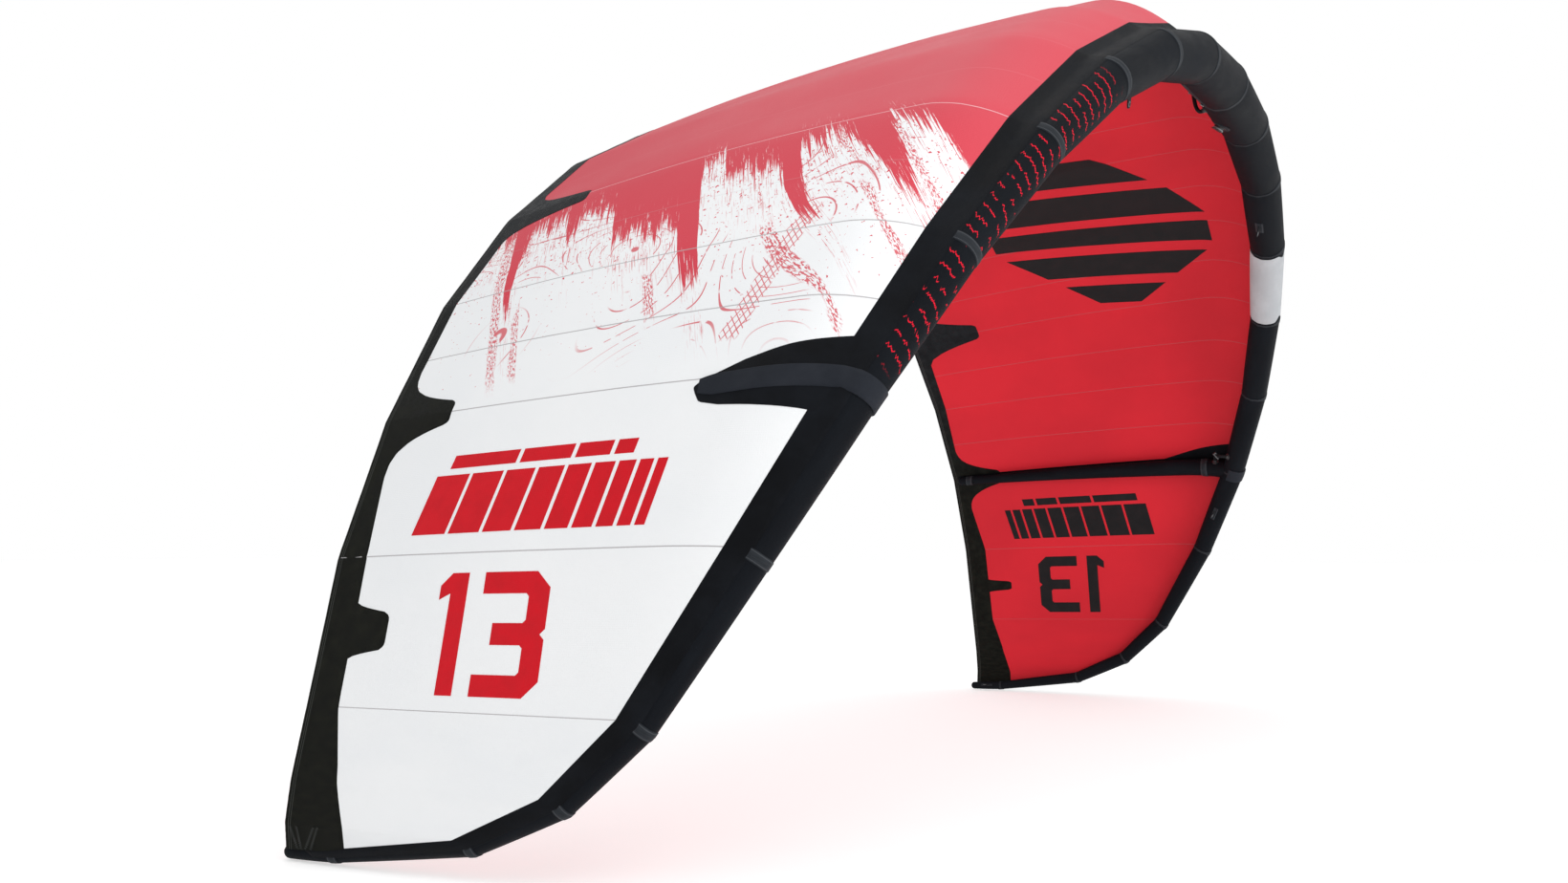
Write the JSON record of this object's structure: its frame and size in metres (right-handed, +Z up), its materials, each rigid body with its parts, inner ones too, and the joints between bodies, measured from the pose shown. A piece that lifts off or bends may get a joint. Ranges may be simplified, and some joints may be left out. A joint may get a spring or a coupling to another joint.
{
  "type": "kitesurf kite",
  "caption": "Inflatable leading-edge kitesurf kite: arched air tube with struts, cambered cloth canopy, valve, inflation hoses with clips, zip and line tabs.",
  "frame": {"origin": "middle of the kite's footprint, on the level plane under its two tips", "axes": "+X along the span to the right-hand tip, +Y from the leading edge back to the trailing edge, +Z up to the crown of the arch"},
  "size_m": [5.2948, 2.0414, 2.796],
  "materials": {
    "sleeve_black": "matte",
    "bladder_clear": "satin",
    "canopy_red": "satin",
    "band_black": "matte",
    "webbing_grey": "matte",
    "hose_black": "satin",
    "moulded_black": "satin",
    "moulded_grey": "satin",
    "flap_rubber": "matte"
  },
  "bodies": {
    "airframe": {"bridle_tab_left_1": "webbing_grey", "bridle_tab_left_2": "webbing_grey", "bridle_tab_right_1": "webbing_grey", "bridle_tab_right_2": "webbing_grey", "canopy_centre_left": "canopy_red", "canopy_centre_right": "canopy_red", "canopy_tip_left": "canopy_red", "canopy_tip_right": "canopy_red", "clip_body_centre": "moulded_black", "clip_body_left": "moulded_black", "clip_body_right": "moulded_black", "hose_centre": "hose_black", "hose_left": "hose_black", "hose_right": "hose_black", "le_bladder": "bladder_clear", "le_sleeve_left_1": "sleeve_black", "le_sleeve_left_2": "sleeve_black", "le_sleeve_left_3": "sleeve_black", "le_sleeve_left_4": "sleeve_black", "le_sleeve_left_5": "sleeve_black", "le_sleeve_left_6": "sleeve_black", "le_sleeve_right_1": "sleeve_black", "le_sleeve_right_2": "sleeve_black", "le_sleeve_right_3": "sleeve_black", "le_sleeve_right_4": "sleeve_black", "le_sleeve_right_5": "sleeve_black", "le_sleeve_right_6": "sleeve_black", "le_sleeve_right_7": "sleeve_black", "le_zip": "webbing_grey", "rear_tab_left": "webbing_grey", "rear_tab_right": "webbing_grey", "strut_bladder_centre": "bladder_clear", "strut_bladder_left": "bladder_clear", "strut_bladder_right": "bladder_clear", "strut_sleeve_centre": "sleeve_black", "strut_sleeve_left": "sleeve_black", "strut_sleeve_right": "sleeve_black", "strut_strap_left": "webbing_grey", "strut_strap_right": "webbing_grey", "strut_wedge_left": "band_black", "strut_wedge_right": "band_black", "te_band_centre_left": "band_black", "te_band_centre_right": "band_black", "te_band_tip_left": "band_black", "te_band_tip_right": "band_black", "te_patch_centre": "band_black", "te_patch_mid_left": "band_black", "te_patch_mid_right": "band_black", "te_patch_strut_left": "band_black", "te_patch_strut_right": "band_black", "te_tab_left": "band_black", "te_tab_right": "band_black", "valve_base": "moulded_black"},
    "dump_collar": {"valve_collar": "moulded_grey"},
    "inflate_cap": {"valve_cap": "moulded_black"},
    "air_flap": {"valve_flap": "flap_rubber"},
    "lever_centre": {"clip_lever_centre": "moulded_grey"},
    "lever_left": {"clip_lever_left": "moulded_grey"},
    "lever_right": {"clip_lever_right": "moulded_grey"},
    "zip_runner": {"zip_slider": "moulded_grey"}
  },
  "joints": [
    {"name": "collar_twist", "type": "hinge", "parent": "airframe", "child": "dump_collar", "pos_m": [0.23012, -0.87387, 2.41371], "axis": [-0.0457, 0.5549, -0.8307], "range_deg": [0, 90]},
    {"name": "cap_hinge", "type": "hinge", "parent": "dump_collar", "child": "inflate_cap", "pos_m": [0.2303, -0.84525, 2.4126], "axis": [0.9981, -0.0087, -0.0608], "range_deg": [0, 150]},
    {"name": "flap_hinge", "type": "hinge", "parent": "dump_collar", "child": "air_flap", "pos_m": [0.23053, -0.86589, 2.41938], "axis": [0.9981, -0.0087, -0.0608], "range_deg": [-40, 0], "stiffness_Nm_per_rad": 0.002},
    {"name": "clip_centre_hinge", "type": "hinge", "parent": "airframe", "child": "lever_centre", "pos_m": [0.0778, -0.8149, 2.51999], "axis": [-0.0926, 0.0592, 0.9939], "range_deg": [0, 70]},
    {"name": "clip_left_hinge", "type": "hinge", "parent": "airframe", "child": "lever_left", "pos_m": [-2.24373, -0.44718, 1.24958], "axis": [-0.8305, 0.5553, 0.0446], "range_deg": [0, 70]},
    {"name": "clip_right_hinge", "type": "hinge", "parent": "airframe", "child": "lever_right", "pos_m": [2.23194, -0.43126, 1.27076], "axis": [0.8305, 0.5553, 0.0446], "range_deg": [0, 70]},
    {"name": "zip_slide", "type": "slide", "parent": "airframe", "child": "zip_runner", "axis": [-0.9981, -0.0087, -0.0608], "range_m": [0, 0.34]}
  ]
}
